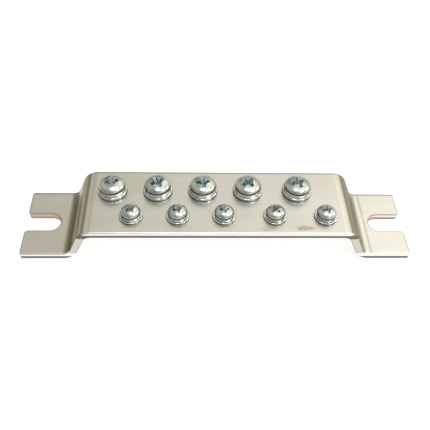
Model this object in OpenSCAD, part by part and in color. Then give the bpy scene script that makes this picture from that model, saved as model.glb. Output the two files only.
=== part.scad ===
// Earth terminal bar: one strip folded into a raised platform on two slotted feet,
// with a row of large and a row of small terminal screws, each with its captive
// spring washer and flat washer. Millimetres, +X along the bar, +Z up, feet on z = 0.

/* [Strip] */
// Width of the strip
strip_w = 32; // [30:0.5:40]
// Thickness of the strip
strip_t = 3; // [2:0.5:4]
// Radius of the strip's long rolled edges
edge_r = 0.8; // [0.3:0.1:0.9]
// Height of the platform's underside above the surface that the feet stand on
rise = 12.8; // [12:0.1:24]
// Inside radius of the four bends
bend_r = 3.5; // [2:0.5:4]
// How far each face of the strip draws in over a bend, where it was stretched
bend_draw = 0.02; // [0.01:0.01:0.05]
// How far the two risers lean outwards towards the feet, in degrees
lean = 24; // [10:1:35]
// Length of each foot's flat, from its bend to the end of the bar
foot_l = 16.3; // [16:0.1:30]

/* [Mounting slots] */
// Width of the open-ended slot in each foot
slot_w = 8.4; // [6:0.1:9]
// Depth of the slot, from the end of the bar to its round end
slot_l = 13.6; // [11:0.1:16]
// Corner radius at the ends of the bar
corner_r = 1.2; // [0.5:0.1:2.5]
// Corner radius at the mouth of each slot
mouth_r = 1.5; // [0.5:0.1:2.5]

/* [Terminal rows] */
// Flat left on the platform between its left bend and the first large screw's centre
left_margin = 6.5; // [6:0.1:15]
// Flat left on the platform between the last small screw's centre and its right bend
right_margin = 6.4; // [5:0.1:15]
// Distance along the bar from the first large screw to the first small screw
row_shift = 7.9; // [7:0.1:9]
// Distance of the large screws' row from the back edge
large_row_in = 10.5; // [8:0.1:11]
// Distance of the small screws' row from the front edge
small_row_in = 8.6; // [7:0.1:9]
// Pitch of the screws over the left and middle of each row
pitch = 17.6; // [16:0.1:22]
// Pitch of the screws at the right-hand end of each row
wide_pitch = 19.5; // [16:0.1:25]

/* [Large screws] */
// Outside diameter of the thread
large_thread_d = 6; // [5:0.5:7]
// Length under the head
large_screw_l = 12; // [9:0.5:14]
// Diameter of the domed head
large_head_d = 10.3; // [9:0.1:12]
// Height of the domed head
large_head_h = 2.8; // [2.4:0.1:4]
// Span of the cross recess
large_recess_w = 6.6; // [5:0.1:7]
// Depth of the cross recess
large_recess_h = 2.1; // [1.2:0.1:2.2]
// Outside diameter of the spring washer
large_spring_d = 9.8; // [9:0.1:11]
// Thickness of the spring washer
large_spring_t = 1.5; // [1:0.1:2]
// Outside diameter of the flat washer
large_flat_d = 11.5; // [10.5:0.1:13]
// Thickness of the flat washer
large_flat_t = 1.2; // [0.8:0.1:1.6]

/* [Small screws] */
// Outside diameter of the thread
small_thread_d = 4; // [3:0.5:5]
// Length under the head
small_screw_l = 10; // [7:0.5:12]
// Diameter of the domed head
small_head_d = 7.4; // [6.8:0.1:8]
// Height of the domed head
small_head_h = 2.5; // [1.8:0.1:3]
// Span of the cross recess
small_recess_w = 4.4; // [3:0.1:5]
// Depth of the cross recess
small_recess_h = 1.7; // [1:0.1:2]
// Outside diameter of the spring washer
small_spring_d = 7; // [6.5:0.1:8]
// Thickness of the spring washer
small_spring_t = 1; // [0.6:0.1:1.4]
// Outside diameter of the flat washer
small_flat_d = 9; // [8:0.1:10]
// Thickness of the flat washer
small_flat_t = 0.8; // [0.5:0.1:1.2]

/* [Fits] */
// Clearance all round between a screw's thread and its tapped hole
thread_gap = 0.08; // [0.05:0.01:0.15]
// Clearance all round between a screw's neck and its captive washers
neck_gap = 0.15; // [0.1:0.05:0.3]
// Gap in each flattened spring washer
split_gap = 0.7; // [0.3:0.1:1.5]

/* [Hidden] */
screws_in_row = 5;
// How many steps of the plain pitch each row has before its wide steps
large_plain_steps = 3;
small_plain_steps = 2;
// How far each cross recess is turned, as the screws happened to stop
large_turns = [12, 30, 8, 40, 24];
small_turns = [35, 20, 5, 42, 15];

// Depth of the undercut neck, as a share of the thread's diameter
neck_share = 0.87;
// Length of the neck past the washers, and height of the tip's chamfer, as shares
// of the thread's diameter
neck_run_share = 0.12;
tip_share = 0.12;
// Height of the straight rim and shoulder radius of a domed head, as shares of its
// height, and how much tighter its crown is than one that just touches the shoulder
rim_share = 0.12;
shoulder_share = 0.5;
crown_ease = 0.93;
// Thickness of a recess wing, and diameter of the driver's point, as shares of
// the recess's span
wing_share = 0.17;
point_share = 0.32;
split_lean = 20;
bend_lap = 0.1;
cut_over = 1;
$fn = 96;

top_z = rise + strip_t;
outer_r = bend_r + strip_t;

// Where step i of a row lies past the row's first screw
function step_x(plain, i) = pitch * min(i, plain) + wide_pitch * max(i - plain, 0);

// The rows and their margins set the platform's flat length, from -flat_x to flat_x
small_row_l = step_x(small_plain_steps, screws_in_row - 1);
flat_x = (left_margin + row_shift + small_row_l + right_margin) / 2;
first_x = left_margin - flat_x;

function large_pos(i) =
    [first_x + step_x(large_plain_steps, i - 1), strip_w / 2 - large_row_in];
function small_pos(i) =
    [first_x + row_shift + step_x(small_plain_steps, i - 1), small_row_in - strip_w / 2];

// The riser is tangent to the bends at its two ends
riser_drop = rise - bend_r - outer_r + (outer_r + bend_r) * sin(lean);
riser_l = riser_drop / cos(lean);
foot_bend_x = flat_x + (outer_r + bend_r) * cos(lean) + riser_l * sin(lean);
end_x = foot_bend_x + foot_l;
function names(stem) = [for (i = [1 : screws_in_row]) str(stem, i)];

// ---------- The folded strip ----------

// Section across the strip, from s = 0 to strip_t through its thickness, drawn in
// on all sides by the given amount
module strip_section(draw = 0) {
    translate([draw, edge_r - strip_w / 2])
        square([strip_t - 2 * draw, strip_w - 2 * edge_r]);
    translate([edge_r, draw - strip_w / 2])
        square([strip_t - 2 * edge_r, strip_w - 2 * draw]);
    for (s = [edge_r, strip_t - edge_r], y = [-1, 1])
        translate([s, y * (strip_w / 2 - edge_r)])
            circle(edge_r - draw);
}

// A flat run of strip, from x0 to x1, with its underside at height z
module flat_run(x0, x1, z) {
    translate([x0, 0, z + strip_t])
        rotate([0, 90, 0])
            linear_extrude(x1 - x0)
                strip_section();
}

// A bend about an axis along Y at [x, z], from the given turn down to the riser's lean
module bend(x, z, turn) {
    translate([x, 0, z])
        rotate([90, turn - lean, 0])
            rotate_extrude(angle = 90 - lean)
                translate([bend_r, 0])
                    strip_section(bend_draw);
}

// The right-hand half of the hat shape, from the middle of the platform. Each
// straight run reaches a little way into the bends that it meets.
module half_strip() {
    flat_run(0, flat_x + bend_lap, rise);
    bend(flat_x, rise - bend_r, 0);
    translate([flat_x, 0, rise - bend_r])
        rotate([0, -lean, 0])
            translate([bend_r, 0, -riser_l - bend_lap])
                linear_extrude(riser_l + 2 * bend_lap)
                    strip_section();
    bend(foot_bend_x, outer_r, 180);
    flat_run(foot_bend_x - bend_lap, end_x, 0);
}

// What is cut from the right-hand foot: its slot and its rounded corners
module foot_cuts() {
    slot_r = slot_w / 2;
    translate([end_x - slot_l + slot_r, 0, -cut_over])
        cylinder(h = strip_t + 2 * cut_over, r = slot_r);
    translate([end_x - slot_l + slot_r, -slot_r, -cut_over])
        cube([slot_l, slot_w, strip_t + 2 * cut_over]);
    for (side = [-1, 1]) {
        corner_cut(side * strip_w / 2, corner_r, side);
        corner_cut(side * slot_r, mouth_r, -side);
    }
}

// Rounds the corner at the end of the bar at [end_x, y]; side points out of it
module corner_cut(y, r, side) {
    translate([end_x - r, y - side * r, -cut_over])
        difference() {
            translate([0, side > 0 ? 0 : -r - cut_over, 0])
                cube([r + cut_over, r + cut_over, strip_t + 2 * cut_over]);
            cylinder(h = strip_t + 2 * cut_over, r = r);
        }
}

module tapped_hole(pos, thread_d) {
    translate([pos.x, pos.y, rise - cut_over])
        cylinder(h = strip_t + 2 * cut_over, d = thread_d + 2 * thread_gap);
}

module earth_bar() {
    color("lightgray")
        difference() {
            union() {
                half_strip();
                mirror([1, 0, 0])
                    half_strip();
            }
            foot_cuts();
            mirror([1, 0, 0])
                foot_cuts();
            for (i = [1 : screws_in_row]) {
                tapped_hole(large_pos(i), large_thread_d);
                tapped_hole(small_pos(i), small_thread_d);
            }
        }
}

// ---------- Screws and washers, each on the Z axis ----------

// Half outline of a screw; its head sits at the given height
module screw_outline(thread_d, length, head_d, head_h, stack_h) {
    rim_h = rim_share * head_h;
    dome_h = head_h - rim_h;
    shoulder_r = shoulder_share * head_h;
    shoulder_x = head_d / 2 - shoulder_r;
    touching_r = (pow(shoulder_x, 2) + pow(dome_h, 2) - pow(shoulder_r, 2))
        / (2 * (dome_h - shoulder_r));
    crown_r = crown_ease * touching_r;
    neck_r = neck_share * thread_d / 2;
    neck_l = stack_h + neck_run_share * thread_d;
    tip_h = tip_share * thread_d;
    intersection() {
        union() {
            square([head_d / 2, rim_h]);
            square([head_d / 2 - shoulder_r / 2, head_h]);
            translate([shoulder_x, rim_h])
                intersection() {
                    circle(shoulder_r);
                    square(shoulder_r);
                }
        }
        translate([0, head_h - crown_r])
            circle(crown_r);
        square([head_d / 2, head_h]);
    }
    translate([0, -neck_l])
        square([neck_r, neck_l + rim_h / 2]);
    polygon([
        [0, -length],
        [thread_d / 2 - tip_h, -length],
        [thread_d / 2, tip_h - length],
        [thread_d / 2, -neck_l],
        [0, -neck_l]
    ]);
}

// Cross recess whose four wings narrow to the driver's point
module cross_recess(w, h, crown_z) {
    wing_t = wing_share * w;
    point_d = point_share * w;
    intersection() {
        union() {
            for (turn = [0, 90])
                rotate(turn)
                    translate([-w, -wing_t / 2, crown_z - h])
                        cube([2 * w, wing_t, h + cut_over]);
            translate([0, 0, crown_z - h])
                cylinder(h = h + cut_over, d = point_d);
        }
        translate([0, 0, crown_z - h])
            cylinder(h = h + cut_over, d1 = point_d, d2 = w + (w - point_d) * cut_over / h);
    }
}

module screw(thread_d, length, head_d, head_h, recess_w, recess_h, stack_h, turn) {
    difference() {
        rotate_extrude()
            screw_outline(thread_d, length, head_d, head_h, stack_h);
        rotate(turn)
            cross_recess(recess_w, recess_h, head_h);
    }
}

module ring(outer_d, inner_d, t) {
    difference() {
        cylinder(h = t, d = outer_d);
        translate([0, 0, -cut_over])
            cylinder(h = t + 2 * cut_over, d = inner_d);
    }
}

// Spring washer pressed flat: a ring with a leaning cut through one side
module split_ring(outer_d, inner_d, t, turn) {
    difference() {
        ring(outer_d, inner_d, t);
        rotate(turn)
            translate([outer_d / 2, 0, t / 2])
                rotate([split_lean, 0, 0])
                    cube([outer_d - inner_d / 2, split_gap, 3 * t], center = true);
    }
}

function washer_bore(thread_d) = neck_share * thread_d + 2 * neck_gap;

large_stack = large_flat_t + large_spring_t;
small_stack = small_flat_t + small_spring_t;

module large_screw(i) {
    color("silver")
        translate([large_pos(i).x, large_pos(i).y, top_z + large_stack])
            screw(large_thread_d, large_screw_l, large_head_d, large_head_h,
                large_recess_w, large_recess_h, large_stack, large_turns[i - 1]);
}

module large_spring_washer(i) {
    color("gainsboro")
        translate([large_pos(i).x, large_pos(i).y, top_z + large_flat_t])
            split_ring(large_spring_d, washer_bore(large_thread_d), large_spring_t,
                90 + large_turns[i - 1]);
}

module large_flat_washer(i) {
    color("whitesmoke")
        translate([large_pos(i).x, large_pos(i).y, top_z])
            ring(large_flat_d, washer_bore(large_thread_d), large_flat_t);
}

module small_screw(i) {
    color("silver")
        translate([small_pos(i).x, small_pos(i).y, top_z + small_stack])
            screw(small_thread_d, small_screw_l, small_head_d, small_head_h,
                small_recess_w, small_recess_h, small_stack, small_turns[i - 1]);
}

module small_spring_washer(i) {
    color("gainsboro")
        translate([small_pos(i).x, small_pos(i).y, top_z + small_flat_t])
            split_ring(small_spring_d, washer_bore(small_thread_d), small_spring_t,
                90 + small_turns[i - 1]);
}

module small_flat_washer(i) {
    color("whitesmoke")
        translate([small_pos(i).x, small_pos(i).y, top_z])
            ring(small_flat_d, washer_bore(small_thread_d), small_flat_t);
}

// ---------- The nodes ----------

earth_bar();
for (i = [1 : screws_in_row]) {
    large_screw(i);
    large_spring_washer(i);
    large_flat_washer(i);
    small_screw(i);
    small_spring_washer(i);
    small_flat_washer(i);
}
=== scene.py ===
"""Earth terminal bar: a plated strip folded into a raised platform on two slotted feet,
with rows of large and small terminal screws on captive washers. Metres, +X along the
bar, +Y towards the large screws, +Z up from the feet."""
import math

import bmesh
import bpy
from mathutils import Matrix, Vector


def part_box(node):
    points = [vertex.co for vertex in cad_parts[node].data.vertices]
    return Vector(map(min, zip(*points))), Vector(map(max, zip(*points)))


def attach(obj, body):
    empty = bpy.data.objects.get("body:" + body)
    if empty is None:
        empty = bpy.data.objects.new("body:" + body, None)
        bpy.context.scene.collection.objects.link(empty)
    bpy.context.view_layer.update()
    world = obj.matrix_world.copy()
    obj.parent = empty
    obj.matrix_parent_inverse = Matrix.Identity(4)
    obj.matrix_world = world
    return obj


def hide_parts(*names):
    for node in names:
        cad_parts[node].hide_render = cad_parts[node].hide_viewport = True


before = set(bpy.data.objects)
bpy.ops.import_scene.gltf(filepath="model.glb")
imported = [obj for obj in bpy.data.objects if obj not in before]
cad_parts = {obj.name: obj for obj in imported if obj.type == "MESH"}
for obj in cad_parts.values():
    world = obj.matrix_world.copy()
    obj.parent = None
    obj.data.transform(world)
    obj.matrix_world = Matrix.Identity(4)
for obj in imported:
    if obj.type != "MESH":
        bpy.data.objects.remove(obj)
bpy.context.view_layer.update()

MM = 0.001
ROW = range(1, 6)

# ---------- Sizes of the folded strip ----------
BAR_LOW, BAR_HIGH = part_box("earth_bar")
STRIP_W = BAR_HIGH.y - BAR_LOW.y
END_X = BAR_HIGH.x
TOP_Z = BAR_HIGH.z
STRIP_T = 3 * MM
ROLLED_R = 0.8 * MM
BEND_R = 3.5 * MM
LEAN = math.radians(24)
RISE = TOP_Z - STRIP_T
OUTER_R = BEND_R + STRIP_T
RISER_L = (RISE - BEND_R - OUTER_R + (OUTER_R + BEND_R) * math.sin(LEAN)) / math.cos(LEAN)
FOOT_L = 16.3 * MM
FOOT_BEND_X = END_X - FOOT_L
FLAT_X = FOOT_BEND_X - (OUTER_R + BEND_R) * math.cos(LEAN) - RISER_L * math.sin(LEAN)
SLOT_R = 4.2 * MM
SLOT_L = 13.6 * MM
CORNER_R = 1.2 * MM
MOUTH_R = 1.5 * MM
CUT_ROUND = 0.3 * MM
HOLE_CHAMFER = 0.3 * MM
CUT_OVER = 1 * MM
# Height up a long edge at which its smooth cut ends and its dull break, darkened with painted
# shade, begins
EDGE_BREAK = 1.9 * MM
COPPER = (0.52, 0.36, 0.32)
COPPER_DARK = (0.30, 0.18, 0.18)
BURNISHED = (0.90, 0.85, 0.80)
# Painted shade: the left foot's burnished band, darker than the right
BURNISHED_LEFT_SHADE = (0.60, 0.52, 0.43)
# Dull edge colour: the dull top of the punched faces, and painted shade lines on the edges and
# bends
DULL_AND_SHADED_EDGE = (0.36, 0.32, 0.28)
# Near-black low on the long edges: their dull break, darkened with painted shade
DULL_BREAK_SHADE = (0.12, 0.10, 0.085)
BEND_SHADE_RIGHT = (0.36, 0.32, 0.255)
BEND_SHADE_LEFT = (0.36, 0.33, 0.26)
LOW_BEND_SHADE = (0.40, 0.355, 0.28)
CORNER_SHADE = (0.28, 0.25, 0.18)
# Painted shade on the long edges of the risers
RISER_SIDE_SHADE = (0.54, 0.54, 0.48)
# Painted highlight along the front rolled edge
ROLL_HIGHLIGHT = (0.97, 0.96, 0.94)
STAIN_BROWN = (0.46, 0.33, 0.22)
# Brown stains on the platform: place, half length, half width and depth
STAINS = [
    (32.3 * MM, -13.2 * MM, 3.9 * MM, 1.4 * MM, 0.75),
    (18.6 * MM, -13.6 * MM, 3.2 * MM, 1.3 * MM, 0.35),
]

# ---------- Sizes of the screws and washers ----------
SCREWS = {
    "large": {"thread": 6, "pitch": 1.0, "recess": 6.6, "depth": 2.1, "turns": (12, 30, 8, 40, 24)},
    "small": {"thread": 4, "pitch": 0.7, "recess": 4.4, "depth": 1.7, "turns": (35, 20, 5, 42, 15)},
}
THREAD_GAP = 0.08 * MM
NECK_SHARE = 0.87
NECK_RUN_SHARE = 0.12
RIM_SHARE = 0.12
DOME_FULLNESS = 2.05
DOME_STEPS = 12
# Depth below the crown over which the recess's painted shade fades in
RECESS_FADE = 0.5 * MM
# Shares of the pitch: the thread's depth, and how far the tip's flat lies below its root
THREAD_DEPTH_SHARE = 0.54
TIP_DROP_SHARE = 0.3
# The flank's slope and the height it starts at, and the slopes at the tip and the neck
FLANK_SLOPE = 1.35
FLANK_START = 0.175
TIP_SLOPE = 1.1
NECK_SLOPE = 1.2
# Share of the head's radius that rounds its lower edge
UNDER_ROUND_SHARE = 0.04
# The rim's painted shade: the share of the head's height that it fades over, how many of those
# it reaches up, and the share of the head's radius at which it begins
RIM_FADE_SHARE = 0.14
RIM_FADES = 2.9
RIM_START_SHARE = 0.8
# Recess wings, as shares of half its width: at the floor, and what the top adds
WING_REACH = (0.36, 0.72)
WING_WIDTH = (0.33, 0.17)
CORE_TOP_SHARE = 0.64
CORE_BOTTOM_SHARE = 0.32
SPLIT_GAP = 0.7 * MM
SPLIT_LEAN = math.radians(20)

# ---------- Mesh making ----------
WELD_REACH = 0.002 * MM
DOUBLES_REACH = 0.001 * MM
SHARP_ANGLE = math.radians(32)

# ---------- Studio lamps: name, place in metres, width and power ----------
LAMPS = [
    ("key_lamp", (0.26, -0.16, 0.40), 0.09, 0.30),
    ("side_lamp", (0.52, 0.08, 0.30), 0.13, 0.45),
    ("top_lamp", (-0.02, -0.08, 0.55), 0.11, 0.5),
]


class Signal:
    """What leaves a node's socket. Sums and products of Signals add Math nodes."""

    def __init__(self, graph, socket):
        self.graph = graph
        self.socket = socket

    def __add__(self, other):
        return self.graph.math("ADD", self, other)

    def __sub__(self, other):
        return self.graph.math("SUBTRACT", self, other)

    def __rsub__(self, other):
        return self.graph.math("SUBTRACT", other, self)

    def __mul__(self, other):
        return self.graph.math("MULTIPLY", self, other)

    def __truediv__(self, other):
        return self.graph.math("DIVIDE", self, other)

    def __rtruediv__(self, other):
        return self.graph.math("DIVIDE", other, self)

    __radd__ = __add__
    __rmul__ = __mul__


class Graph:
    """A shader or geometry tree under construction."""

    def __init__(self, tree):
        self.tree = tree

    def node(self, kind, settings=None, inputs=None, out=0):
        """Adds a node: its settings first, then its sockets' values or links."""
        made = self.tree.nodes.new(kind)
        for name, value in (settings or {}).items():
            if name == "stops":
                self.fill_ramp(made.color_ramp, value)
            else:
                setattr(made, name, value)
        for name, value in (inputs or {}).items():
            for one in value if isinstance(value, list) else [value]:
                self.plug(made.inputs[name], one)
        return Signal(self, made.outputs[out])

    def fill_ramp(self, ramp, stops):
        while len(ramp.elements) < len(stops):
            ramp.elements.new(1)
        for element, (position, colour) in zip(ramp.elements, stops):
            element.position = position
            element.color = (*colour, 1)

    def plug(self, socket, value):
        if isinstance(value, Signal):
            self.tree.links.new(value.socket, socket)
        else:
            socket.default_value = value

    def math(self, operation, *values):
        inputs = dict(enumerate(values))
        return self.node("ShaderNodeMath", {"operation": operation}, inputs)

    def vector(self, x=0, y=0, z=0):
        return self.node("ShaderNodeCombineXYZ", None, {"X": x, "Y": y, "Z": z})

    def band(self, value, low, high):
        """0 below low, 1 above high, smooth between."""
        made = self.node("ShaderNodeMapRange", {"interpolation_type": "SMOOTHSTEP"})
        node = made.socket.node
        self.plug(node.inputs["Value"], value)
        node.inputs["From Min"].default_value = low
        node.inputs["From Max"].default_value = high
        return made

    def between(self, value, rise, fall):
        """0 outside and 1 inside: it rises over the first pair and falls over the second."""
        return self.band(value, *rise) * (1 - self.band(value, *fall))

    def blend(self, amount, first, second):
        """The first colour where amount is 0 and the second where it is 1."""
        made = self.tree.nodes.new("ShaderNodeMix")
        made.data_type = "RGBA"
        self.plug(made.inputs[0], amount)
        for socket, colour in ((6, first), (7, second)):
            self.plug(made.inputs[socket], colour if isinstance(colour, Signal) else (*colour, 1))
        return Signal(self, made.outputs[2])

    def ramp(self, value, *stops):
        return self.node("ShaderNodeValToRGB", {"stops": stops}, {"Fac": value})

    def multiplied(self, first, second):
        """The product of two colours."""
        return self.node(
            "ShaderNodeVectorMath", {"operation": "MULTIPLY"}, {0: first, 1: second}
        )

    def parts(self, vector):
        split = self.tree.nodes.new("ShaderNodeSeparateXYZ")
        self.plug(split.inputs[0], vector)
        return [Signal(self, socket) for socket in split.outputs]


# ---------- Geometry Nodes ----------

class Shape(Graph):
    """A Geometry Nodes tree with one named input for each size."""

    def __init__(self, name, sizes):
        super().__init__(bpy.data.node_groups.new(name, "GeometryNodeTree"))
        face = self.tree.interface
        face.new_socket("Geometry", in_out="OUTPUT", socket_type="NodeSocketGeometry")
        for size in sizes:
            face.new_socket(size, in_out="INPUT", socket_type="NodeSocketFloat")
        face.new_socket("Centre", in_out="INPUT", socket_type="NodeSocketVector")
        face.new_socket("Finish", in_out="INPUT", socket_type="NodeSocketMaterial")
        self.entry = self.tree.nodes.new("NodeGroupInput")

    def size(self, name):
        return Signal(self, self.entry.outputs[name])

    def position(self):
        return self.node("GeometryNodeInputPosition")

    def moved(self, geometry, offset):
        return self.node(
            "GeometryNodeTransform", None, {"Geometry": geometry, "Translation": offset}
        )

    def placed(self, geometry, position):
        return self.node(
            "GeometryNodeSetPosition", None, {"Geometry": geometry, "Position": position}
        )

    def joined(self, *geometries):
        return self.node("GeometryNodeJoinGeometry", None, {"Geometry": list(geometries)})

    def welded(self, geometry):
        return self.node(
            "GeometryNodeMergeByDistance", None, {"Geometry": geometry, "Distance": WELD_REACH}
        )

    def marked(self, geometry, name, value):
        """Keeps a value for each point, for the finish to read."""
        return self.node(
            "GeometryNodeStoreNamedAttribute",
            {"data_type": "FLOAT", "domain": "POINT"},
            {"Geometry": geometry, "Name": name, "Value": value},
        )

    def outline(self, corners, closed=False):
        """A poly curve through corners of (radius, height, fillet radius), drawn with
        its heights downwards, as a swept profile wants them."""
        index = self.node("GeometryNodeInputIndex")
        line = self.node(
            "GeometryNodeMeshLine", None, {"Count": len(corners), "Offset": (0, 0, MM)}
        )
        columns = [self.switch(index, [corner[k] for corner in corners]) for k in range(3)]
        chain = self.placed(line, self.vector(columns[0], 0 - columns[1], 0))
        curve = self.node("GeometryNodeMeshToCurve", None, {"Mesh": chain})
        if closed:
            curve = self.node(
                "GeometryNodeSetSplineCyclic", None, {"Geometry": curve, "Cyclic": True}
            )
        return self.filleted(curve, columns[2])

    def filleted(self, curve, radius, steps=5):
        made = self.node(
            "GeometryNodeFilletCurve", None, {"Curve": curve, "Radius": radius}
        )
        node = made.socket.node
        if hasattr(node, "mode"):
            node.mode = "POLY"
        else:
            node.inputs["Mode"].default_value = "Poly"
        node.inputs["Count"].default_value = steps
        return made

    def switch(self, index, values):
        """Gives each point of a chain its own value, by its index."""
        made = self.tree.nodes.new("GeometryNodeIndexSwitch")
        made.data_type = "FLOAT"
        while len(made.index_switch_items) < len(values):
            made.index_switch_items.new()
        self.plug(made.inputs["Index"], index)
        for k, value in enumerate(values):
            self.plug(made.inputs[k + 1], value)
        return Signal(self, made.outputs[0])

    def lathe(self, corners, sides, closed=False):
        """Turns an outline of (radius, height, fillet radius) corners about the Z axis."""
        hoop_r = 20 * MM
        profile = self.moved(self.outline(corners, closed), (-hoop_r, 0, 0))
        hoop = self.node(
            "GeometryNodeCurvePrimitiveCircle", None, {"Resolution": sides, "Radius": hoop_r}
        )
        turned = self.node(
            "GeometryNodeCurveToMesh", None, {"Curve": hoop, "Profile Curve": profile}
        )
        return self.welded(turned)

    def finish(self, geometry):
        """At its place, made real and given its finish."""
        whole = self.moved(geometry, self.size("Centre"))
        real = self.node("GeometryNodeRealizeInstances", None, {"Geometry": whole})
        coated = self.node(
            "GeometryNodeSetMaterial", None, {"Geometry": real, "Material": self.size("Finish")}
        )
        end = self.tree.nodes.new("NodeGroupOutput")
        self.tree.links.new(coated.socket, end.inputs["Geometry"])
        return self.tree


def screw_tree():
    """Domed head with a cross recess, undercut neck and right-handed thread; the
    underside of the head is at height 0."""
    sizes = [
        "Head Diameter", "Head Height", "Neck Diameter", "Neck Length", "Thread Diameter",
        "Pitch", "Length", "Recess Width", "Recess Depth", "Turn",
    ]
    g = Shape("terminal screw", sizes)
    sides = 64
    head_r = g.size("Head Diameter") * 0.5
    head_h = g.size("Head Height")
    neck_r = g.size("Neck Diameter") * 0.5
    neck_l = g.size("Neck Length")
    thread_r = g.size("Thread Diameter") * 0.5
    pitch = g.size("Pitch")
    length = g.size("Length")
    root_r = thread_r - pitch * THREAD_DEPTH_SHARE
    tip_r = root_r - pitch * TIP_DROP_SHARE

    rim_h = head_h * RIM_SHARE
    dome = []
    for step in range(DOME_STEPS + 1):
        rising = math.pi / 2 * (1 - step / DOME_STEPS)
        reach = math.cos(rising) ** (2 / DOME_FULLNESS)
        lift = math.sin(rising) ** (2 / DOME_FULLNESS)
        dome.append((head_r * reach, rim_h + (head_h - rim_h) * lift, 0))
    blank = g.lathe(
        dome + [
            (head_r, 0, head_r * UNDER_ROUND_SHARE),
            (neck_r, 0, 0),
            (neck_r, 0 - neck_l, 0),
            (0, 0 - neck_l, 0),
        ],
        sides,
    )
    headed = g.node(
        "GeometryNodeMeshBoolean",
        {"operation": "DIFFERENCE", "solver": "EXACT"},
        {"Mesh 1": blank, "Mesh 2": recess(g, head_h)},
    )

    # Masks for painted shade: in the cross recess, and round the head's lower rim
    spot_x, spot_y, spot_z = g.parts(g.position())
    from_axis = g.math("SQRT", spot_x * spot_x + spot_y * spot_y)
    crown = rim_h + (head_h - rim_h) * g.math(
        "POWER", 1 - g.math("POWER", from_axis / head_r, DOME_FULLNESS), 1 / DOME_FULLNESS
    )
    in_recess = g.math("LESS_THAN", from_axis, g.size("Recess Width") * 0.52)
    above_floor = g.math("GREATER_THAN", spot_z, head_h - g.size("Recess Depth") - 0.1 * MM)
    sunk = g.math("MINIMUM", g.math("MAXIMUM", (crown - spot_z) / RECESS_FADE - 0.1, 0), 1)
    rim_left = RIM_FADES - spot_z / (head_h * RIM_FADE_SHARE)
    low_rim = g.math("MINIMUM", g.math("MAXIMUM", rim_left, 0), 1)
    low_rim = low_rim * g.math("GREATER_THAN", from_axis, head_r * RIM_START_SHARE)
    headed = g.marked(headed, "hollow", sunk * in_recess * above_floor)
    headed = g.marked(headed, "low_rim", low_rim)

    rows_per_pitch = 12
    rows = g.math("CEIL", (length - neck_l) / pitch * rows_per_pitch)
    sheet = g.tree.nodes.new("GeometryNodeMeshGrid")
    sheet.inputs["Size X"].default_value = 1
    sheet.inputs["Size Y"].default_value = 1
    sheet.inputs["Vertices X"].default_value = sides + 1
    g.plug(sheet.inputs["Vertices Y"], rows)
    across, up, _ = g.parts(g.position())
    angle = (across + 0.5) * math.tau
    height = (up + 0.5) * (length - neck_l) - length
    phase = g.math("PINGPONG", height / pitch - angle / math.tau, 0.5) * 2
    flank = g.math("MINIMUM", g.math("MAXIMUM", phase * FLANK_SLOPE - FLANK_START, 0), 1)
    ridge = root_r + flank * (thread_r - root_r)
    point = tip_r + (height + length) * TIP_SLOPE
    shoulder = root_r + (0 - neck_l - height) * NECK_SLOPE
    radius = g.math("MINIMUM", g.math("MINIMUM", ridge, point), shoulder)
    spot = g.vector(
        radius * g.math("COSINE", angle), radius * g.math("SINE", angle), height
    )
    thread = g.placed(Signal(g, sheet.outputs["Mesh"]), spot)
    caps = [
        g.moved(
            g.node(
                "GeometryNodeMeshCircle",
                {"fill_type": "NGON"},
                {"Vertices": sides, "Radius": cap_r},
            ),
            g.vector(0, 0, cap_z),
        )
        for cap_r, cap_z in ((tip_r, 0 - length), (root_r, 0 - neck_l))
    ]
    shank = g.welded(g.joined(thread, *caps))
    turned = g.node(
        "GeometryNodeTransform",
        None,
        {"Geometry": g.joined(headed, shank), "Rotation": g.vector(0, 0, g.size("Turn"))},
    )
    return g.finish(turned)


def recess(g, head_h):
    """The tool that sinks the cross recess: four tapered wings and a pointed core."""
    half = g.size("Recess Width") * 0.5
    depth = g.size("Recess Depth")
    over = 0.5 * MM
    x, y, z = g.parts(g.position())
    shallow = z + 0.5
    reach = half * (WING_REACH[0] + shallow * WING_REACH[1])
    thickness = half * (WING_WIDTH[0] + shallow * WING_WIDTH[1])
    bottom = head_h - depth
    tools = []
    for quarter in (0, 1):
        block = g.node("GeometryNodeMeshCube", None, {"Size": (1, 1, 1)})
        spot = g.vector(x * 2 * reach, y * thickness, bottom + shallow * (depth + over))
        wing = g.placed(block, spot)
        tools.append(
            g.node(
                "GeometryNodeTransform",
                None,
                {"Geometry": wing, "Rotation": (0, 0, quarter * math.pi / 2)},
            )
        )
    core = g.node(
        "GeometryNodeMeshCone",
        {"fill_type": "NGON"},
        {
            "Vertices": 24,
            "Radius Top": half * CORE_TOP_SHARE,
            "Radius Bottom": half * CORE_BOTTOM_SHARE,
            "Depth": depth + over,
        },
    )
    tools.append(g.moved(core, g.vector(0, 0, bottom - 0.05 * MM)))
    return tools


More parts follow.
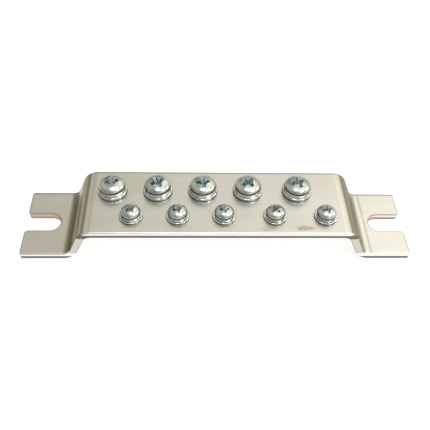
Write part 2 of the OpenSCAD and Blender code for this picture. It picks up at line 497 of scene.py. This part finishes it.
def spring_washer_tree():
    """A flat-pressed split ring of square section, its ends cut on the lean."""
    g = Shape("spring washer", ["Outer Diameter", "Inner Diameter", "Thickness", "Gap", "Turn"])
    outer = g.size("Outer Diameter") * 0.5
    inner = g.size("Inner Diameter") * 0.5
    thick = g.size("Thickness")
    middle = (outer + inner) * 0.5
    gap_angle = g.size("Gap") / middle
    ring = g.node(
        "GeometryNodeCurveArc",
        {"mode": "RADIUS"},
        {
            "Resolution": 73,
            "Radius": middle,
            "Start Angle": g.size("Turn") + gap_angle * 0.5,
            "Sweep Angle": math.tau - gap_angle,
        },
    )
    section = g.node(
        "GeometryNodeCurvePrimitiveQuadrilateral",
        {"mode": "RECTANGLE"},
        {"Width": outer - inner, "Height": thick},
    )
    section = g.filleted(section, thick * 0.12, 3)
    body = g.node(
        "GeometryNodeCurveToMesh",
        None,
        {"Curve": ring, "Profile Curve": section, "Fill Caps": True},
    )
    x, y, z = g.parts(g.position())
    swing = z * math.tan(SPLIT_LEAN) / middle
    cosine = g.math("COSINE", swing)
    sine = g.math("SINE", swing)
    leaned = g.placed(
        body, g.vector(x * cosine - y * sine, x * sine + y * cosine, z + thick * 0.5)
    )
    return g.finish(leaned)


def flat_washer_tree():
    """A stamped washer: its upper outer edge is drawn round, its lower edge crisp."""
    g = Shape("flat washer", ["Outer Diameter", "Inner Diameter", "Thickness"])
    outer = g.size("Outer Diameter") * 0.5
    inner = g.size("Inner Diameter") * 0.5
    thick = g.size("Thickness")
    ring = g.lathe(
        [
            (inner, 0, thick * 0.06),
            (outer, 0, thick * 0.08),
            (outer, thick, thick * 0.38),
            (inner, thick, thick * 0.12),
        ],
        96,
        closed=True,
    )
    return g.finish(ring)


def grown(name, tree, values):
    """Runs a tree with these values and returns what it makes as a plain mesh piece."""
    maker = bpy.data.objects.new(name + "_maker", bpy.data.meshes.new(name + "_maker"))
    bpy.context.scene.collection.objects.link(maker)
    modifier = maker.modifiers.new("shape", "NODES")
    modifier.node_group = tree
    for socket in tree.interface.items_tree:
        if socket.in_out == "INPUT":
            modifier[socket.identifier] = values[socket.name]
    return baked(name, maker)


def baked(name, maker):
    """The maker's evaluated mesh as a piece of its own; the maker is removed."""
    graph = bpy.context.evaluated_depsgraph_get()
    mesh = bpy.data.meshes.new_from_object(
        maker.evaluated_get(graph), preserve_all_data_layers=True, depsgraph=graph
    )
    mesh.name = name
    maker.modifiers.clear()
    bpy.data.objects.remove(maker)
    piece = bpy.data.objects.new(name, mesh)
    bpy.context.scene.collection.objects.link(piece)
    return piece


def smoothed(piece):
    """Outward faces, smooth over small angles, with flats that stay flat."""
    mesh = piece.data
    work = bmesh.new()
    work.from_mesh(mesh)
    bmesh.ops.remove_doubles(work, verts=work.verts, dist=DOUBLES_REACH)
    bmesh.ops.recalc_face_normals(work, faces=work.faces)
    work.to_mesh(mesh)
    work.free()
    mesh.shade_smooth()
    mesh.set_sharp_from_angle(angle=SHARP_ANGLE)
    modifier = piece.modifiers.new("flats", "WEIGHTED_NORMAL")
    modifier.keep_sharp = True
    modifier.weight = 100
    name = piece.name
    piece.name = name + "_rough"
    return baked(name, piece)


# ---------- The folded strip ----------

def strip_section(steps=4):
    """Points (across, through) round the strip, with its rolled long edges."""
    corners = [
        (STRIP_W / 2, STRIP_T, 0),
        (-STRIP_W / 2, STRIP_T, 1),
        (-STRIP_W / 2, 0, 2),
        (STRIP_W / 2, 0, 3),
    ]
    points = []
    for across, through, quarter in corners:
        centre = Vector((across - math.copysign(ROLLED_R, across),
                         through + (ROLLED_R if through == 0 else -ROLLED_R)))
        for step in range(steps + 1):
            angle = (quarter + step / steps) * math.pi / 2
            points.append(centre + ROLLED_R * Vector((math.cos(angle), math.sin(angle))))
    return points


def strip_path(steps=14):
    """Stations (x, z, tilt) along the underside, from the middle to the right end."""
    path = [(0, RISE, 0), (FLAT_X, RISE, 0)]
    turn = math.pi / 2 - LEAN
    for step in range(1, steps + 1):
        tilt = turn * step / steps
        path.append((FLAT_X + BEND_R * math.sin(tilt),
                     RISE - BEND_R + BEND_R * math.cos(tilt), tilt))
    for step in range(steps + 1):
        tilt = turn * (1 - step / steps)
        path.append((FOOT_BEND_X - OUTER_R * math.sin(tilt),
                     OUTER_R - OUTER_R * math.cos(tilt), tilt))
    path.append((END_X, 0, 0))
    return path


def swept_strip():
    """The strip before it is punched: its section swept along the whole fold."""
    right = strip_path()
    stations = [(-x, z, -tilt) for x, z, tilt in reversed(right[1:])] + right
    work = bmesh.new()
    rings = []
    for x, z, tilt in stations:
        through_dir = Vector((math.sin(tilt), 0, math.cos(tilt)))
        rings.append([
            work.verts.new(Vector((x, 0, z)) + Vector((0, y, 0)) + through_dir * s)
            for y, s in strip_section()
        ])
    for ring, after in zip(rings, rings[1:]):
        for k in range(len(ring)):
            work.faces.new((ring[k - 1], ring[k], after[k], after[k - 1]))
    work.faces.new(rings[0])
    work.faces.new(rings[-1])
    bmesh.ops.recalc_face_normals(work, faces=work.faces)
    return work


def foot_outline(draw):
    """What is punched away round the right foot, as a closed loop; draw pulls the
    outline into the metal, to round the edges of the cut."""
    half = STRIP_W / 2
    inner_x = END_X - CORNER_R
    far = CUT_OVER * 2

    def arc(x, y, r, start, end, steps):
        return [
            (x + r * math.cos(math.radians(start + (end - start) * k / steps)),
             y + r * math.sin(math.radians(start + (end - start) * k / steps)))
            for k in range(steps + 1)
        ]

    path = [(inner_x, half + far), (END_X + far, half + far)]
    path += [(END_X + far, -half - far), (inner_x, -half - far)]
    path += arc(inner_x, CORNER_R - half, CORNER_R - draw, -88, 0, 8)
    path += arc(END_X - MOUTH_R, -SLOT_R - MOUTH_R, MOUTH_R - draw, 0, 90, 8)
    path += arc(END_X - SLOT_L + SLOT_R, 0, SLOT_R + draw, 270, 90, 28)
    path += arc(END_X - MOUTH_R, SLOT_R + MOUTH_R, MOUTH_R - draw, -90, 0, 8)
    path += arc(inner_x, half - CORNER_R, CORNER_R - draw, 0, 88, 8)
    return path


def lofted(work, loops):
    """Joins closed loops of 3-D points into one solid, capped at both ends."""
    rings = [[work.verts.new(point) for point in loop] for loop in loops]
    for ring, after in zip(rings, rings[1:]):
        for k in range(len(ring)):
            work.faces.new((ring[k - 1], ring[k], after[k], after[k - 1]))
    work.faces.new(rings[0])
    work.faces.new(rings[-1])


def punch_tools():
    """Everything that is cut from the strip: the ends with their slots, and the holes."""
    work = bmesh.new()
    steps = 4
    levels = [(-CUT_OVER, CUT_ROUND)]
    for step in range(steps + 1):
        angle = math.pi / 2 * step / steps
        levels.append((CUT_ROUND * (1 - math.cos(angle)), CUT_ROUND * (1 - math.sin(angle))))
    levels += [(STRIP_T - z, draw) for z, draw in reversed(levels)]
    for side in (1, -1):
        lofted(work, [
            [(side * x, y, z) for x, y in foot_outline(draw)] for z, draw in levels
        ])
    for size, spec in SCREWS.items():
        bore_r = spec["thread"] * MM / 2 + THREAD_GAP
        for i in ROW:
            centre = middle_of(f"{size}_screw_{i}")
            profile = [
                (RISE - CUT_OVER, bore_r + HOLE_CHAMFER + CUT_OVER),
                (RISE + HOLE_CHAMFER, bore_r),
                (TOP_Z - HOLE_CHAMFER, bore_r),
                (TOP_Z + CUT_OVER, bore_r + HOLE_CHAMFER + CUT_OVER),
            ]
            lofted(work, [hoop(centre, r, z) for z, r in profile])
    bmesh.ops.recalc_face_normals(work, faces=work.faces)
    return work


def hoop(centre, r, z, sides=72):
    turns = [math.tau * k / sides for k in range(sides)]
    return [(centre.x + r * math.cos(a), centre.y + r * math.sin(a), z) for a in turns]


def middle_of(node):
    low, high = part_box(node)
    return (low + high) / 2


def as_object(work, name, material=None):
    mesh = bpy.data.meshes.new(name)
    work.to_mesh(mesh)
    work.free()
    if material:
        mesh.materials.append(material)
    made = bpy.data.objects.new(name, mesh)
    bpy.context.scene.collection.objects.link(made)
    return made


def folded_strip(finish):
    """The strip with its ends, slots and tapped holes cut."""
    blank = as_object(swept_strip(), "strip_blank", finish)
    tools = as_object(punch_tools(), "punch_tools", finish)
    cut = blank.modifiers.new("punched", "BOOLEAN")
    cut.operation = "DIFFERENCE"
    cut.solver = "EXACT"
    cut.object = tools
    punched = baked("folded_strip", blank)
    bpy.data.objects.remove(tools)
    return smoothed(punched)


# ---------- Finishes ----------

class Finish(Graph):
    """A material made of one Principled shader."""

    def __init__(self, name, roughness):
        self.material = bpy.data.materials.new(name)
        self.material.use_nodes = True
        super().__init__(self.material.node_tree)
        self.shader = next(n for n in self.tree.nodes if n.type == "BSDF_PRINCIPLED")
        self.set("Roughness", roughness)
        self.set("Metallic", 1.0)

    def set(self, socket, value):
        self.plug(self.shader.inputs[socket], value)

    def colour(self):
        """What feeds the base colour so far."""
        return Signal(self, self.shader.inputs["Base Color"].links[0].from_socket)

    def place(self):
        return self.node("ShaderNodeTexCoord", out="Object")

    def noise(self, scale, stretch=(1, 1, 1), detail=3, shift=0):
        """Noise whose grain is 1/scale metres across, drawn out by stretch."""
        spot = self.node(
            "ShaderNodeMapping",
            None,
            {
                "Vector": self.place(),
                "Location": (shift, shift, shift),
                "Scale": tuple(1 / s for s in stretch),
            },
        )
        return self.node(
            "ShaderNodeTexNoise",
            None,
            {"Vector": spot, "Scale": scale, "Detail": detail},
        )

    def bump(self, height, distance, strength):
        self.set("Normal", self.node(
            "ShaderNodeBump", None,
            {"Height": height, "Distance": distance, "Strength": strength},
        ))


def stained(f, plate, x, y, z):
    """The plate's colour with its brown smudges."""
    on_top = f.band(z, TOP_Z - 0.5 * MM, TOP_Z)
    mottle = 0.55 + f.band(f.noise(1000, detail=3, shift=0.35), 0.38, 0.60) * 0.45
    wobble = f.noise(420, detail=2, shift=1.1) * 1.6
    for stain_x, stain_y, half_l, half_w, depth in STAINS:
        off_x = (x - stain_x) / half_l
        off_y = (y - stain_y) / half_w
        inside_stain = 1 - f.band(off_x * off_x + off_y * off_y + wobble, 1.0, 2.0)
        plate = f.blend(inside_stain * mottle * on_top * depth, plate, STAIN_BROWN)
    return plate


def bends_shaded(f, colour, along, z, leftward, on_edge):
    """Painted shade on the bends and painted shade lines beside them, on the strip's upper face."""
    riser_foot = FOOT_BEND_X - BEND_R * math.cos(LEAN)
    riser_top = FLAT_X + OUTER_R * math.cos(LEAN)
    riser_top_z = RISE - BEND_R + OUTER_R * math.sin(LEAN)
    outward = (along - riser_top) * math.cos(LEAN) + (z - riser_top_z) * math.sin(LEAN)
    on_face = 1 - on_edge
    upper_skin = f.band(outward, -2.7 * MM, -2.4 * MM)
    corner_skin = f.band(outward, -0.4 * MM, -0.1 * MM)
    bend_end = riser_foot - leftward * (riser_foot - riser_top - 0.7 * MM)

    over_bend = f.band(along, FLAT_X + 2.3 * MM, FLAT_X + 3.1 * MM)
    over_bend = over_bend * (1 - f.band(along - bend_end, -0.5 * MM, 0)) * on_face * upper_skin
    right_low = f.between(
        along,
        (riser_foot - 0.5 * MM, riser_foot),
        (FOOT_BEND_X - 1.6 * MM, FOOT_BEND_X - 1.0 * MM),
    )
    right_low = right_low * (1 - leftward) * on_face * corner_skin
    low_line = f.between(
        along,
        (FOOT_BEND_X + 0.1 * MM, FOOT_BEND_X + 0.5 * MM),
        (FOOT_BEND_X + 1.0 * MM, FOOT_BEND_X + 1.4 * MM),
    )
    low_line = low_line * (1 - leftward) * on_face * corner_skin
    in_corner = f.between(
        along,
        (riser_foot - 0.3 * MM, riser_foot + 0.3 * MM),
        (FOOT_BEND_X - 1.5 * MM, FOOT_BEND_X + 0.4 * MM),
    )
    in_corner = in_corner * leftward * on_face * corner_skin

    bend_shade = f.blend(leftward, BEND_SHADE_RIGHT, BEND_SHADE_LEFT)
    colour = f.blend(over_bend * 0.9, colour, bend_shade)
    colour = f.blend(right_low * 0.35, colour, LOW_BEND_SHADE)
    colour = f.blend(low_line * 0.4, colour, DULL_AND_SHADED_EDGE)
    return colour, in_corner


def plated_strip():
    """Satin tin plate on copper, with a lengthwise rolling grain and cloudy warm and cool patches.
    The punched edges are bare copper, and the long edges are dull where the strip broke from its
    sheet, with painted shade over that break. Painted shade also lies on the bends, round the cuts,
    on the riser sides, along the back edge and on the left foot's punched faces, and a painted
    highlight lies along the front roll."""
    f = Finish("plated_strip", 0.3)
    x, y, z = f.parts(f.place())
    along = f.math("ABSOLUTE", x)
    aside = f.math("ABSOLUTE", y)
    leftward = f.band(0 - x, 0, 10 * MM)
    half_w = STRIP_W / 2
    clouds = f.noise(60, (2.5, 1, 1), 3)
    streaks = f.noise(2600, (60, 1, 1), 3, shift=1.7)
    fine = f.noise(9000, (90, 1, 1), 2, shift=4.1)

    plate = f.ramp(
        clouds, (0.3, (0.80, 0.78, 0.71)), (0.5, (0.84, 0.82, 0.77)), (0.72, (0.87, 0.86, 0.82))
    )
    plate = f.blend(f.band(streaks, 0.35, 0.75) * 0.3, plate, (0.70, 0.68, 0.62))
    plate = stained(f, plate, x, y, z)

    # The punched ends and slots: bare copper below, a burnish band and then dull above; the left
    # foot's burnish band is darker with painted shade
    on_foot = f.band(along, FOOT_BEND_X, FOOT_BEND_X + 1 * MM)
    inside = 1 - f.band(aside, half_w - 1.0 * MM, half_w - 0.4 * MM)
    in_thickness = f.between(
        z, (0, 0.2 * MM), (STRIP_T - 0.03 * MM, STRIP_T - 0.005 * MM)
    )
    punched = on_foot * inside * in_thickness
    copper = f.blend(f.band(z, 0.3 * MM, 1.0 * MM), COPPER_DARK, COPPER)
    # Painted shade darkens the left foot's burnished band
    burnished_with_shade = f.blend(leftward, BURNISHED, BURNISHED_LEFT_SHADE)
    punch_face = f.blend(f.band(z, 1.3 * MM, 1.7 * MM), copper, burnished_with_shade)
    near_top = f.band(z, STRIP_T - 0.4 * MM, STRIP_T - 0.25 * MM)
    punch_face = f.blend(near_top, punch_face, DULL_AND_SHADED_EDGE)

    # The long edges: a dull break darkened with painted shade, painted shade on the riser sides and
    # along the back, and a painted highlight on the front roll
    on_edge = f.band(aside, half_w - 0.75 * MM, half_w - 0.5 * MM)
    # Low on each long edge: its dull break, darkened with painted shade
    low_foot = 1 - f.band(z, EDGE_BREAK - 0.3 * MM, EDGE_BREAK + 0.2 * MM)
    break_top = RISE + EDGE_BREAK
    low_platform = f.between(
        z, (RISE - 0.8 * MM, RISE), (break_top - 0.3 * MM, break_top + 0.2 * MM)
    )
    broken_and_shaded = on_edge * (low_foot + low_platform)
    # Painted shade: a dark line along the back edge
    back_line_shade = f.band(y, half_w - 1.35 * MM, half_w - 0.9 * MM)
    # Painted shade on the riser sides' long edges
    riser_shade = on_edge * f.between(
        z, (STRIP_T, STRIP_T + 1 * MM), (RISE - 1 * MM, RISE)
    )
    # Painted highlight along the front rolled edge
    front_roll_highlight = f.band(0 - y, half_w - 0.7 * MM, half_w - 0.3 * MM)

    # Painted shade: a dark line on the face round each slot and end
    slot_x = f.math("MINIMUM", along - (END_X - SLOT_L + SLOT_R), 0)
    to_slot = f.math("SQRT", slot_x * slot_x + y * y) - SLOT_R
    to_cut = f.math("MINIMUM", to_slot, END_X - along)
    cut_edge_shade = (1 - f.band(to_cut, 0.3 * MM, 0.7 * MM)) * on_foot

    colour, in_corner = bends_shaded(f, plate, along, z, leftward, on_edge)
    colour = f.blend(cut_edge_shade * 0.45, colour, DULL_AND_SHADED_EDGE)
    colour = f.blend(front_roll_highlight * 0.9, colour, ROLL_HIGHLIGHT)
    colour = f.blend(in_corner * 0.9, colour, CORNER_SHADE)
    colour = f.blend(riser_shade * 0.9, colour, RISER_SIDE_SHADE)
    colour = f.blend(back_line_shade * 0.8, colour, DULL_AND_SHADED_EDGE)
    colour = f.blend(broken_and_shaded * 0.9, colour, DULL_BREAK_SHADE)
    f.set("Base Color", f.blend(punched, colour, punch_face))
    f.set("Specular Tint", (0.50, 0.48, 0.43, 1))
    f.set("Roughness", 0.26 + clouds * 0.08 + streaks * 0.07 + punched * 0.15 + broken_and_shaded * 0.2)
    f.bump(streaks * 0.5 + fine * 0.5, 0.004 * MM, 0.6)
    return f.material


def zinc(name, roughness, tint, shade):
    """Bright zinc plate with soft bluish clouds and fine handling marks."""
    f = Finish(name, roughness)
    clouds = f.noise(240, detail=2, shift=2.3)
    marks = f.noise(2200, detail=3, shift=0.9)
    f.set("Base Color", f.blend(f.band(clouds, 0.42, 0.66), tint, shade))
    f.set("Specular Tint", (0.34, 0.37, 0.37, 1))
    f.set("Roughness", roughness + marks * 0.1)
    f.bump(marks, 0.003 * MM, 0.4)
    return f


def screw_zinc():
    """Bright zinc with painted shade in its cross recess, teal there on the middle large screws;
    the rim of each head is nearly black with painted shade."""
    f = zinc("zinc_screw", 0.19, (0.71, 0.74, 0.72), (0.50, 0.57, 0.56))
    x, y, _ = f.parts(f.place())
    hollow = f.node("ShaderNodeAttribute", {"attribute_name": "hollow"}, out="Fac")
    rim = f.node("ShaderNodeAttribute", {"attribute_name": "low_rim"}, out="Fac")
    off_middle = f.math("ABSOLUTE", x + 6 * MM)
    middle = (1 - f.band(off_middle, 20 * MM, 27 * MM)) * f.band(y, 0, 1 * MM)
    # The recess's colour: painted shade, with a real teal tint on the middle large screws
    sunk = f.blend(middle, (0.42, 0.48, 0.46), (0.20, 0.38, 0.41))
    bright = f.blend(hollow * 0.85, f.colour(), sunk)
    # Near-black painted shade round the head's lower rim
    f.set("Base Color", f.blend(rim * 0.95, bright, (0.05, 0.055, 0.055)))
    return f.material


def spring_zinc():
    """Pale zinc with little shade."""
    return zinc("zinc_spring_washer", 0.28, (0.94, 0.95, 0.94), (0.78, 0.81, 0.81)).material


def flat_zinc():
    """Bright zinc with painted shade round the foot of a flat washer's wall."""
    f = zinc("zinc_flat_washer", 0.16, (0.78, 0.81, 0.80), (0.60, 0.64, 0.64))
    _, y, z = f.parts(f.place())
    # Painted shade round the foot of the washer's wall
    thickness = (0.8 + f.band(y, 0, 1 * MM) * 0.4) * MM
    wall_shade = 1 - f.band((z - TOP_Z) / thickness, 0.45, 0.75)
    f.set("Base Color", f.blend(wall_shade * 0.9, f.colour(), (0.10, 0.11, 0.11)))
    return f.material


# ---------- Pieces ----------

def dress(piece, node, body):
    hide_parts(node)
    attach(piece, body)


def add_terminals():
    """Every screw and washer of both rows, each at its node's place."""
    screws, springs, flats = screw_tree(), spring_washer_tree(), flat_washer_tree()
    screw_finish, spring_finish, flat_finish = screw_zinc(), spring_zinc(), flat_zinc()
    for size, spec in SCREWS.items():
        thread_d = spec["thread"] * MM
        bore = NECK_SHARE * thread_d + 0.3 * MM
        for i, turn in zip(ROW, spec["turns"]):
            low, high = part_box(f"{size}_screw_{i}")
            flat_low, flat_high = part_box(f"{size}_flat_washer_{i}")
            spring_low, spring_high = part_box(f"{size}_spring_washer_{i}")
            centre = middle_of(f"{size}_screw_{i}")
            seat = spring_high.z
            turned = math.radians(turn)
            made = grown(f"{size}_screw_{i}_finished", screws, {
                "Head Diameter": high.x - low.x,
                "Head Height": high.z - seat,
                "Neck Diameter": NECK_SHARE * thread_d,
                "Neck Length": seat - TOP_Z + NECK_RUN_SHARE * thread_d,
                "Thread Diameter": thread_d,
                "Pitch": spec["pitch"] * MM,
                "Length": seat - low.z,
                "Recess Width": spec["recess"] * MM,
                "Recess Depth": spec["depth"] * MM,
                "Turn": turned,
                "Centre": (centre.x, centre.y, seat),
                "Finish": screw_finish,
            })
            dress(smoothed(made), f"{size}_screw_{i}", f"{size}_screw_{i}")
            made = grown(f"{size}_spring_washer_{i}_finished", springs, {
                "Outer Diameter": spring_high.x - spring_low.x,
                "Inner Diameter": bore,
                "Thickness": spring_high.z - spring_low.z,
                "Gap": SPLIT_GAP,
                "Turn": math.pi / 2 + turned,
                "Centre": (centre.x, centre.y, spring_low.z),
                "Finish": spring_finish,
            })
            dress(smoothed(made), f"{size}_spring_washer_{i}", f"{size}_washers_{i}")
            made = grown(f"{size}_flat_washer_{i}_finished", flats, {
                "Outer Diameter": flat_high.x - flat_low.x,
                "Inner Diameter": bore,
                "Thickness": flat_high.z - flat_low.z,
                "Centre": (centre.x, centre.y, flat_low.z),
                "Finish": flat_finish,
            })
            dress(smoothed(made), f"{size}_flat_washer_{i}", f"{size}_washers_{i}")


def add_strip():
    strip = folded_strip(plated_strip())
    dress(strip, "earth_bar", "bar")


# ---------- Studio ----------

def add_camera():
    """Looks down along +Y at the bar, turned and rolled a little."""
    elevation = math.radians(49.947)
    heading = math.radians(4.124)
    roll = math.radians(3.321)
    aim = Vector((-0.36, 6.35, 0)) * MM
    distance = 234.3 * MM
    forward = Vector((
        math.sin(heading) * math.cos(elevation),
        math.cos(heading) * math.cos(elevation),
        -math.sin(elevation),
    ))
    lens = bpy.data.cameras.new("camera")
    lens.lens = 47.06
    lens.clip_start = 1 * MM
    camera = bpy.data.objects.new("camera", lens)
    bpy.context.scene.collection.objects.link(camera)
    level = forward.to_track_quat("-Z", "Y").to_matrix()
    camera.matrix_world = Matrix.Translation(aim - forward * distance) @ (
        level @ Matrix.Rotation(roll, 3, "Z")
    ).to_4x4()
    bpy.context.scene.camera = camera


def add_lamp(name, place, size, power):
    """A round soft lamp that faces the bar."""
    light = bpy.data.lights.new(name, "AREA")
    light.shape = "DISK"
    light.size = size
    light.energy = power
    lamp = bpy.data.objects.new(name, light)
    bpy.context.scene.collection.objects.link(lamp)
    place = Vector(place)
    lamp.matrix_world = Matrix.Translation(place) @ (
        (-place).to_track_quat("-Z", "Y").to_matrix().to_4x4()
    )


def add_studio():
    """Pale floor, soft world and three soft lamps. The world's light goes by direction:
    across from left to right, and up in front, behind and at the sides."""
    bpy.context.scene.view_settings.view_transform = "Standard"
    work = bmesh.new()
    bmesh.ops.create_grid(work, x_segments=1, y_segments=1, size=3)
    as_object(work, "floor", floor_finish())
    world = bpy.data.worlds.new("studio")
    bpy.context.scene.world = world
    world.use_nodes = True
    g = Graph(world.node_tree)
    world.node_tree.nodes.clear()
    direction = g.node("ShaderNodeTexCoord", out="Generated")
    x, y, z = g.parts(direction)
    across = g.ramp(
        x * 0.5 + 0.5,
        (0.0, (0.29, 0.26, 0.22)), (0.20, (0.43, 0.42, 0.36)), (0.33, (0.30, 0.28, 0.24)),
        (0.40, (0.29, 0.27, 0.23)), (0.435, (0.50, 0.49, 0.43)), (0.525, (0.525, 0.525, 0.49)),
        (0.61, (0.555, 0.545, 0.505)), (0.635, (0.61, 0.59, 0.54)), (0.66, (1.0, 0.96, 0.87)),
        (0.80, (0.68, 0.65, 0.57)), (1.0, (0.55, 0.51, 0.44)),
    )
    behind = g.ramp(
        z, (0.0, (0.45, 0.47, 0.47)), (0.42, (0.55, 0.57, 0.57)), (0.54, (0.72, 0.74, 0.74)),
        (0.64, (1, 1, 1)),
    )
    beside = g.ramp(
        z, (0.0, (0.46, 0.42, 0.34)), (0.24, (0.52, 0.48, 0.40)), (0.36, (1, 1, 1)),
    )
    before = g.ramp(
        z, (0.0, (0.9, 0.9, 0.9)), (0.15, (0.75, 0.75, 0.75)), (0.35, (0.62, 0.63, 0.64)),
        (0.80, (0.62, 0.63, 0.64)), (0.95, (1, 1, 1)),
    )
    turned = g.band(g.math("ABSOLUTE", x), 0.35, 0.60)
    skyline = g.blend(turned, behind, beside)
    skyline = g.blend(g.band(0 - y, 0.05, 0.35), skyline, before)
    glow = g.multiplied(across, skyline)
    strength = 1.5
    # White down to the floor's edge, so that the two meet unseen
    glow = g.blend(g.band(z, 0.03, 0.07), (1 / strength,) * 3, glow)
    back = g.node("ShaderNodeBackground", None, {"Color": glow, "Strength": strength})
    end = world.node_tree.nodes.new("ShaderNodeOutputWorld")
    world.node_tree.links.new(back.socket, end.inputs["Surface"])
    for lamp in LAMPS:
        add_lamp(*lamp)


def floor_finish():
    """White to the camera and in reflections, less what the object shades."""
    material = bpy.data.materials.new("pale_floor")
    material.use_nodes = True
    g = Graph(material.node_tree)
    material.node_tree.nodes.clear()
    paths = material.node_tree.nodes.new("ShaderNodeLightPath")
    seen = g.math("MINIMUM", Signal(g, paths.outputs["Is Camera Ray"])
                  + Signal(g, paths.outputs["Is Glossy Ray"])
                  + Signal(g, paths.outputs["Is Transmission Ray"]), 1)
    matt = g.node("ShaderNodeBsdfDiffuse", None, {"Color": (0.75, 0.75, 0.74, 1)})
    white = g.node("ShaderNodeEmission", None, {"Color": (1, 1, 1, 1), "Strength": 0.75})
    shown = g.node("ShaderNodeAddShader")
    node = shown.socket.node
    shaded = g.node("ShaderNodeBsdfDiffuse", None, {"Color": (0.5, 0.5, 0.5, 1)})
    g.plug(node.inputs[0], white)
    g.plug(node.inputs[1], shaded)
    mixed = g.node("ShaderNodeMixShader", None, {"Fac": seen, 1: matt, 2: shown})
    end = material.node_tree.nodes.new("ShaderNodeOutputMaterial")
    material.node_tree.links.new(mixed.socket, end.inputs["Surface"])
    return material


add_camera()
add_strip()
add_terminals()
add_studio()
